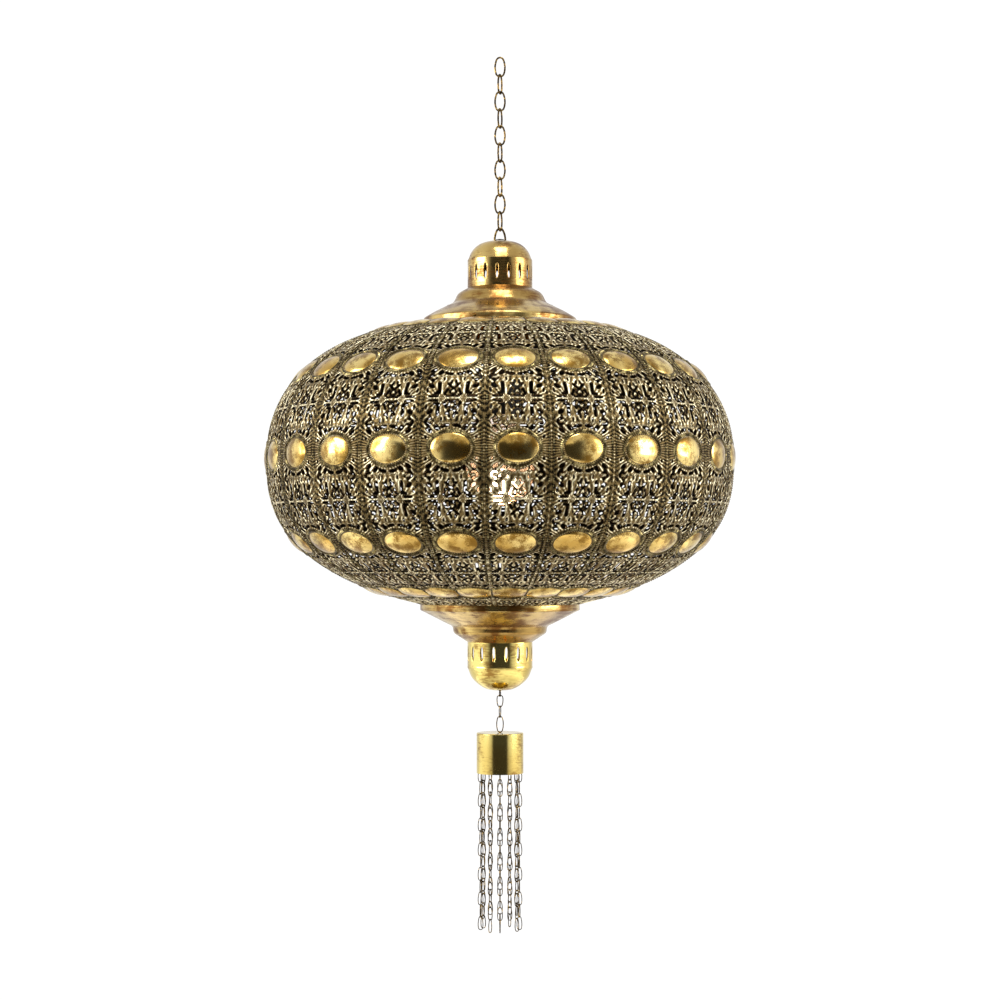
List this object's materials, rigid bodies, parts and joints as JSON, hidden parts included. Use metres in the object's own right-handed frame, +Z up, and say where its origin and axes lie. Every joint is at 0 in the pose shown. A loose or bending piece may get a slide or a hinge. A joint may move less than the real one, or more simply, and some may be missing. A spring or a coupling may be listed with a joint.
{
  "type": "hanging lantern",
  "caption": "Round pierced brass lantern on an oval-link chain, with a vented cap, a vented dish below and a tassel of fine chains under a small cup.",
  "frame": {"origin": "hanging point, inside the top of the first chain link", "axes": "+Z up along the chain and the shade's axis; the first link's face and the front of the lantern look towards -Y"},
  "size_m": [0.4028, 0.4028, 0.759],
  "materials": {
    "pierced_brass": "stamped and pierced sheet, aged dark in its recesses and rubbed bright on its ridges",
    "spun_brass": "spun and aged, with turning marks",
    "cup_brass": "polished",
    "chain_brass": "drawn wire, tarnished",
    "fine_chain_brass": "fine drawn wire, tarnished",
    "plain_brass": "plain sheet and turned brass",
    "plated_steel": "zinc plated",
    "black_plastic": "moulded phenolic",
    "ceramic": "white glazed insulator",
    "lamp_glass": "frosted inside"
  },
  "bodies": {
    "link_01": {"chain_link_01": "chain_brass"},
    "link_02": {"chain_link_02": "chain_brass"},
    "link_03": {"chain_link_03": "chain_brass"},
    "link_04": {"chain_link_04": "chain_brass"},
    "link_05": {"chain_link_05": "chain_brass"},
    "link_06": {"chain_link_06": "chain_brass"},
    "link_07": {"chain_link_07": "chain_brass"},
    "link_08": {"chain_link_08": "chain_brass"},
    "link_09": {"chain_link_09": "chain_brass"},
    "link_10": {"chain_link_10": "chain_brass"},
    "lantern": {"bail": "chain_brass", "vent_dome": "spun_brass", "crown_washer": "plain_brass", "cord_bush": "plain_brass", "vent_collar": "spun_brass", "bell": "spun_brass", "top_hoop": "plain_brass", "bridge_bar": "plain_brass", "stem_nut_upper": "plated_steel", "stem_nut_lower": "plated_steel", "stem_tube": "plated_steel", "holder_cap": "black_plastic", "holder_skirt": "black_plastic", "thread_shell": "plain_brass", "contact_spring": "plain_brass", "holder_base": "ceramic", "lamp_glass": "lamp_glass", "lamp_cap": "plain_brass", "gores_01": "pierced_brass", "gores_02": "pierced_brass", "gores_03": "pierced_brass", "gores_04": "pierced_brass", "gores_05": "pierced_brass", "gores_06": "pierced_brass", "gores_07": "pierced_brass", "gores_08": "pierced_brass", "bottom_hoop": "plain_brass", "rim_screws": "plated_steel", "bottom_dish": "spun_brass", "lower_collar": "spun_brass", "lower_dome": "spun_brass", "bottom_eye": "fine_chain_brass", "eye_nut": "plated_steel"},
    "cup": {"cup_eye": "fine_chain_brass", "tassel_cup": "cup_brass", "strand_ring": "fine_chain_brass"},
    "lower_01": {"lower_link_01": "fine_chain_brass"},
    "lower_02": {"lower_link_02": "fine_chain_brass"},
    "strand_01": {"strand_01": "fine_chain_brass"},
    "strand_02": {"strand_02": "fine_chain_brass"},
    "strand_03": {"strand_03": "fine_chain_brass"},
    "strand_04": {"strand_04": "fine_chain_brass"},
    "strand_05": {"strand_05": "fine_chain_brass"},
    "strand_06": {"strand_06": "fine_chain_brass"},
    "strand_07": {"strand_07": "fine_chain_brass"},
    "strand_08": {"strand_08": "fine_chain_brass"},
    "strand_09": {"strand_09": "fine_chain_brass"},
    "strand_10": {"strand_10": "fine_chain_brass"},
    "strand_11": {"strand_11": "fine_chain_brass"},
    "strand_12": {"strand_12": "fine_chain_brass"}
  },
  "joints": [
    {"name": "link_02_swing", "type": "hinge", "parent": "link_01", "child": "link_02", "pos_m": [0, 0, -0.0159], "axis": [1, 0, 0], "range_deg": [-12, 12]},
    {"name": "link_03_swing", "type": "hinge", "parent": "link_02", "child": "link_03", "pos_m": [0, 0, -0.0309], "axis": [0.3746, 0.9272, 0], "range_deg": [-12, 12]},
    {"name": "link_04_swing", "type": "hinge", "parent": "link_03", "child": "link_04", "pos_m": [0, 0, -0.0459], "axis": [1, 0, 0], "range_deg": [-12, 12]},
    {"name": "link_05_swing", "type": "hinge", "parent": "link_04", "child": "link_05", "pos_m": [0, 0, -0.0609], "axis": [0.3746, 0.9272, 0], "range_deg": [-12, 12]},
    {"name": "link_06_swing", "type": "hinge", "parent": "link_05", "child": "link_06", "pos_m": [0, 0, -0.0759], "axis": [1, 0, 0], "range_deg": [-12, 12]},
    {"name": "link_07_swing", "type": "hinge", "parent": "link_06", "child": "link_07", "pos_m": [0, 0, -0.0909], "axis": [0.3746, 0.9272, 0], "range_deg": [-12, 12]},
    {"name": "link_08_swing", "type": "hinge", "parent": "link_07", "child": "link_08", "pos_m": [0, 0, -0.1059], "axis": [1, 0, 0], "range_deg": [-12, 12]},
    {"name": "link_09_swing", "type": "hinge", "parent": "link_08", "child": "link_09", "pos_m": [0, 0, -0.1209], "axis": [0.3746, 0.9272, 0], "range_deg": [-12, 12]},
    {"name": "link_10_swing", "type": "hinge", "parent": "link_09", "child": "link_10", "pos_m": [0, 0, -0.1359], "axis": [1, 0, 0], "range_deg": [-12, 12]},
    {"name": "lantern_swing", "type": "hinge", "parent": "link_10", "child": "lantern", "pos_m": [0, 0, -0.1509], "axis": [0.3746, 0.9272, 0], "range_deg": [-12, 12]},
    {"name": "lower_01_swing", "type": "hinge", "parent": "lantern", "child": "lower_01", "pos_m": [0, 0, -0.55586], "axis": [0.2588, 0.9659, 0], "range_deg": [-15, 15]},
    {"name": "lower_02_swing", "type": "hinge", "parent": "lower_01", "child": "lower_02", "pos_m": [0, 0, -0.56496], "axis": [1, 0, 0], "range_deg": [-15, 15]},
    {"name": "cup_swing", "type": "hinge", "parent": "lower_02", "child": "cup", "pos_m": [0, 0, -0.57406], "axis": [0.2588, 0.9659, 0], "range_deg": [-15, 15]},
    {"name": "strand_01_swing", "type": "hinge", "parent": "cup", "child": "strand_01", "pos_m": [0.0168, 0, -0.61941], "axis": [0, -1, 0], "range_deg": [-2, 10]},
    {"name": "strand_02_swing", "type": "hinge", "parent": "cup", "child": "strand_02", "pos_m": [0.01455, 0.0084, -0.61941], "axis": [0.5, -0.866, 0], "range_deg": [-2, 10]},
    {"name": "strand_03_swing", "type": "hinge", "parent": "cup", "child": "strand_03", "pos_m": [0.0084, 0.01455, -0.61941], "axis": [0.866, -0.5, 0], "range_deg": [-2, 10]},
    {"name": "strand_04_swing", "type": "hinge", "parent": "cup", "child": "strand_04", "pos_m": [0, 0.0168, -0.61941], "axis": [1, 0, 0], "range_deg": [-2, 10]},
    {"name": "strand_05_swing", "type": "hinge", "parent": "cup", "child": "strand_05", "pos_m": [-0.0084, 0.01455, -0.61941], "axis": [0.866, 0.5, 0], "range_deg": [-2, 10]},
    {"name": "strand_06_swing", "type": "hinge", "parent": "cup", "child": "strand_06", "pos_m": [-0.01455, 0.0084, -0.61941], "axis": [0.5, 0.866, 0], "range_deg": [-2, 10]},
    {"name": "strand_07_swing", "type": "hinge", "parent": "cup", "child": "strand_07", "pos_m": [-0.0168, 0, -0.61941], "axis": [0, 1, 0], "range_deg": [-2, 10]},
    {"name": "strand_08_swing", "type": "hinge", "parent": "cup", "child": "strand_08", "pos_m": [-0.01455, -0.0084, -0.61941], "axis": [-0.5, 0.866, 0], "range_deg": [-2, 10]},
    {"name": "strand_09_swing", "type": "hinge", "parent": "cup", "child": "strand_09", "pos_m": [-0.0084, -0.01455, -0.61941], "axis": [-0.866, 0.5, 0], "range_deg": [-2, 10]},
    {"name": "strand_10_swing", "type": "hinge", "parent": "cup", "child": "strand_10", "pos_m": [0, -0.0168, -0.61941], "axis": [-1, 0, 0], "range_deg": [-2, 10]},
    {"name": "strand_11_swing", "type": "hinge", "parent": "cup", "child": "strand_11", "pos_m": [0.0084, -0.01455, -0.61941], "axis": [-0.866, -0.5, 0], "range_deg": [-2, 10]},
    {"name": "strand_12_swing", "type": "hinge", "parent": "cup", "child": "strand_12", "pos_m": [0.01455, -0.0084, -0.61941], "axis": [-0.5, -0.866, 0], "range_deg": [-2, 10]}
  ]
}
